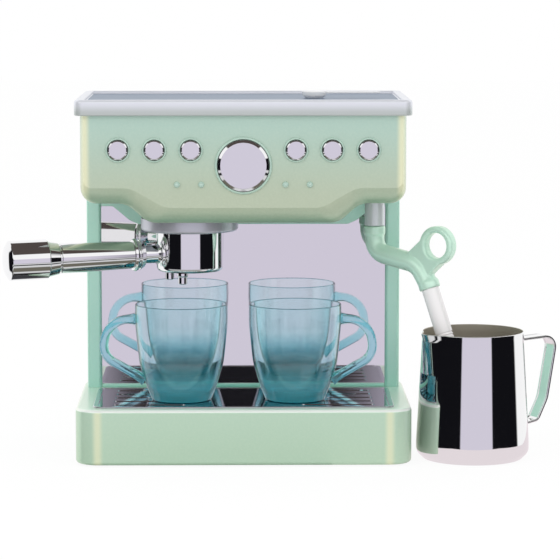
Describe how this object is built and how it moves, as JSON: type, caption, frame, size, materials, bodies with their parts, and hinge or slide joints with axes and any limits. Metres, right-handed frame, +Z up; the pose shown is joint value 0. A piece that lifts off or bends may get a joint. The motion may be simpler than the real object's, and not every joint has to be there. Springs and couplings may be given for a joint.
{
  "type": "toy coffee maker",
  "caption": "Toy espresso maker: hollow base with drip tray, mirror-backed bay, head with push buttons, turning portafilter, swivelling steam wand, mugs, milk jug and spoon.",
  "frame": {"origin": "middle of the base's footprint, on the table", "axes": "+X to the steam wand's side, -Y out of the front, +Z up"},
  "size_m": [0.3831, 0.143, 0.2522],
  "materials": {
    "pearl_mint": "pearlescent gloss moulding",
    "mint_rear": "fine satin moulding",
    "silver_lid": "silver gloss, dark in its recess",
    "chrome_parts": "bright chrome plating",
    "silver_rings": "silver lacquer",
    "mirror_sheet": "mirror-bright sheet",
    "teal_clear": "clear tinted, polished",
    "clear": "clear, polished",
    "jug_steel": "mirror polished outside, satin inside",
    "dark_rubber": "matt",
    "cells": "plain sleeve",
    "contacts": "plain",
    "screws": "zinc plated",
    "board": "lacquered board",
    "black_plastic": "matt black"
  },
  "bodies": {
    "machine": {"base_shell": "pearl_mint", "base_plate": "mint_rear", "battery_cover": "mint_rear", "batteries": "cells", "battery_contacts": "contacts", "rubber_feet": "dark_rubber", "battery_cover_screw": "screws", "base_screws": "screws", "column_left": "pearl_mint", "column_right": "pearl_mint", "mirror_panel": "mirror_sheet", "mirror_surround": "pearl_mint", "back_cover": "mint_rear", "back_screws": "screws", "speaker": "black_plastic", "wire_loom": "black_plastic", "head_shell": "pearl_mint", "indicator_domes": "pearl_mint", "lid_tray": "silver_lid", "circuit_board": "board", "switches": "black_plastic", "group_ring": "silver_rings", "wand_collar": "silver_rings"},
    "tray": {"drip_tray": "chrome_parts"},
    "portafilter": {"portafilter_cup": "chrome_parts", "portafilter_spouts": "chrome_parts", "portafilter_neck": "chrome_parts", "handle_collar": "chrome_parts", "handle_rod": "chrome_parts", "handle_grip": "chrome_parts"},
    "steam_wand": {"wand_arm": "pearl_mint", "wand_tube": "clear"},
    "left_mug": {"mug_left": "teal_clear"},
    "right_mug": {"mug_right": "teal_clear"},
    "jug": {"jug_body": "jug_steel", "jug_handle": "jug_steel"},
    "lid_spoon": {"spoon": "clear"},
    "button_1_cap": {"button_1": "chrome_parts"},
    "button_2_cap": {"button_2": "chrome_parts"},
    "button_3_cap": {"button_3": "chrome_parts"},
    "button_4_cap": {"button_4": "chrome_parts"},
    "button_5_cap": {"button_5": "chrome_parts"},
    "button_6_cap": {"button_6": "chrome_parts"},
    "brew_button_cap": {"brew_button": "chrome_parts"}
  },
  "joints": [
    {"name": "button_1_push", "type": "slide", "parent": "machine", "child": "button_1_cap", "axis": [0, 1, 0], "range_m": [0, 0.002], "stiffness_N_per_m": 400, "springref_m": -0.001},
    {"name": "button_2_push", "type": "slide", "parent": "machine", "child": "button_2_cap", "axis": [0, 1, 0], "range_m": [0, 0.002], "stiffness_N_per_m": 400, "springref_m": -0.001},
    {"name": "button_3_push", "type": "slide", "parent": "machine", "child": "button_3_cap", "axis": [0, 1, 0], "range_m": [0, 0.002], "stiffness_N_per_m": 400, "springref_m": -0.001},
    {"name": "button_4_push", "type": "slide", "parent": "machine", "child": "button_4_cap", "axis": [0, 1, 0], "range_m": [0, 0.002], "stiffness_N_per_m": 400, "springref_m": -0.001},
    {"name": "button_5_push", "type": "slide", "parent": "machine", "child": "button_5_cap", "axis": [0, 1, 0], "range_m": [0, 0.002], "stiffness_N_per_m": 400, "springref_m": -0.001},
    {"name": "button_6_push", "type": "slide", "parent": "machine", "child": "button_6_cap", "axis": [0, 1, 0], "range_m": [0, 0.002], "stiffness_N_per_m": 400, "springref_m": -0.001},
    {"name": "brew_button_push", "type": "slide", "parent": "machine", "child": "brew_button_cap", "axis": [0, 1, 0], "range_m": [0, 0.002], "stiffness_N_per_m": 600, "springref_m": -0.001},
    {"name": "portafilter_turn", "type": "hinge", "parent": "machine", "child": "portafilter", "pos_m": [-0.0372, -0.02, 0.16], "axis": [0, 0, 1], "range_deg": [0, 73]},
    {"name": "wand_swivel", "type": "hinge", "parent": "machine", "child": "steam_wand", "pos_m": [0.0916, -0.003, 0.16], "axis": [0, 0, 1], "range_deg": [-3, 28]},
    {"name": "drip_tray_lift", "type": "slide", "parent": "machine", "child": "tray", "axis": [0, 0, 1], "range_m": [0, 0.01]},
    {"name": "mug_left_out", "type": "slide", "parent": "tray", "child": "left_mug", "axis": [0, -0.9992, 0.04], "range_m": [0, 0.12]},
    {"name": "mug_right_out", "type": "slide", "parent": "tray", "child": "right_mug", "axis": [0, -0.9992, 0.04], "range_m": [0, 0.12]},
    {"name": "jug_turn", "type": "hinge", "parent": "machine", "child": "jug", "pos_m": [0.1585, -0.034, 0], "axis": [0, 0, 1], "range_deg": [-60, 60]},
    {"name": "spoon_lift", "type": "slide", "parent": "machine", "child": "lid_spoon", "axis": [0, 0, 1], "range_m": [0, 0.03]}
  ]
}
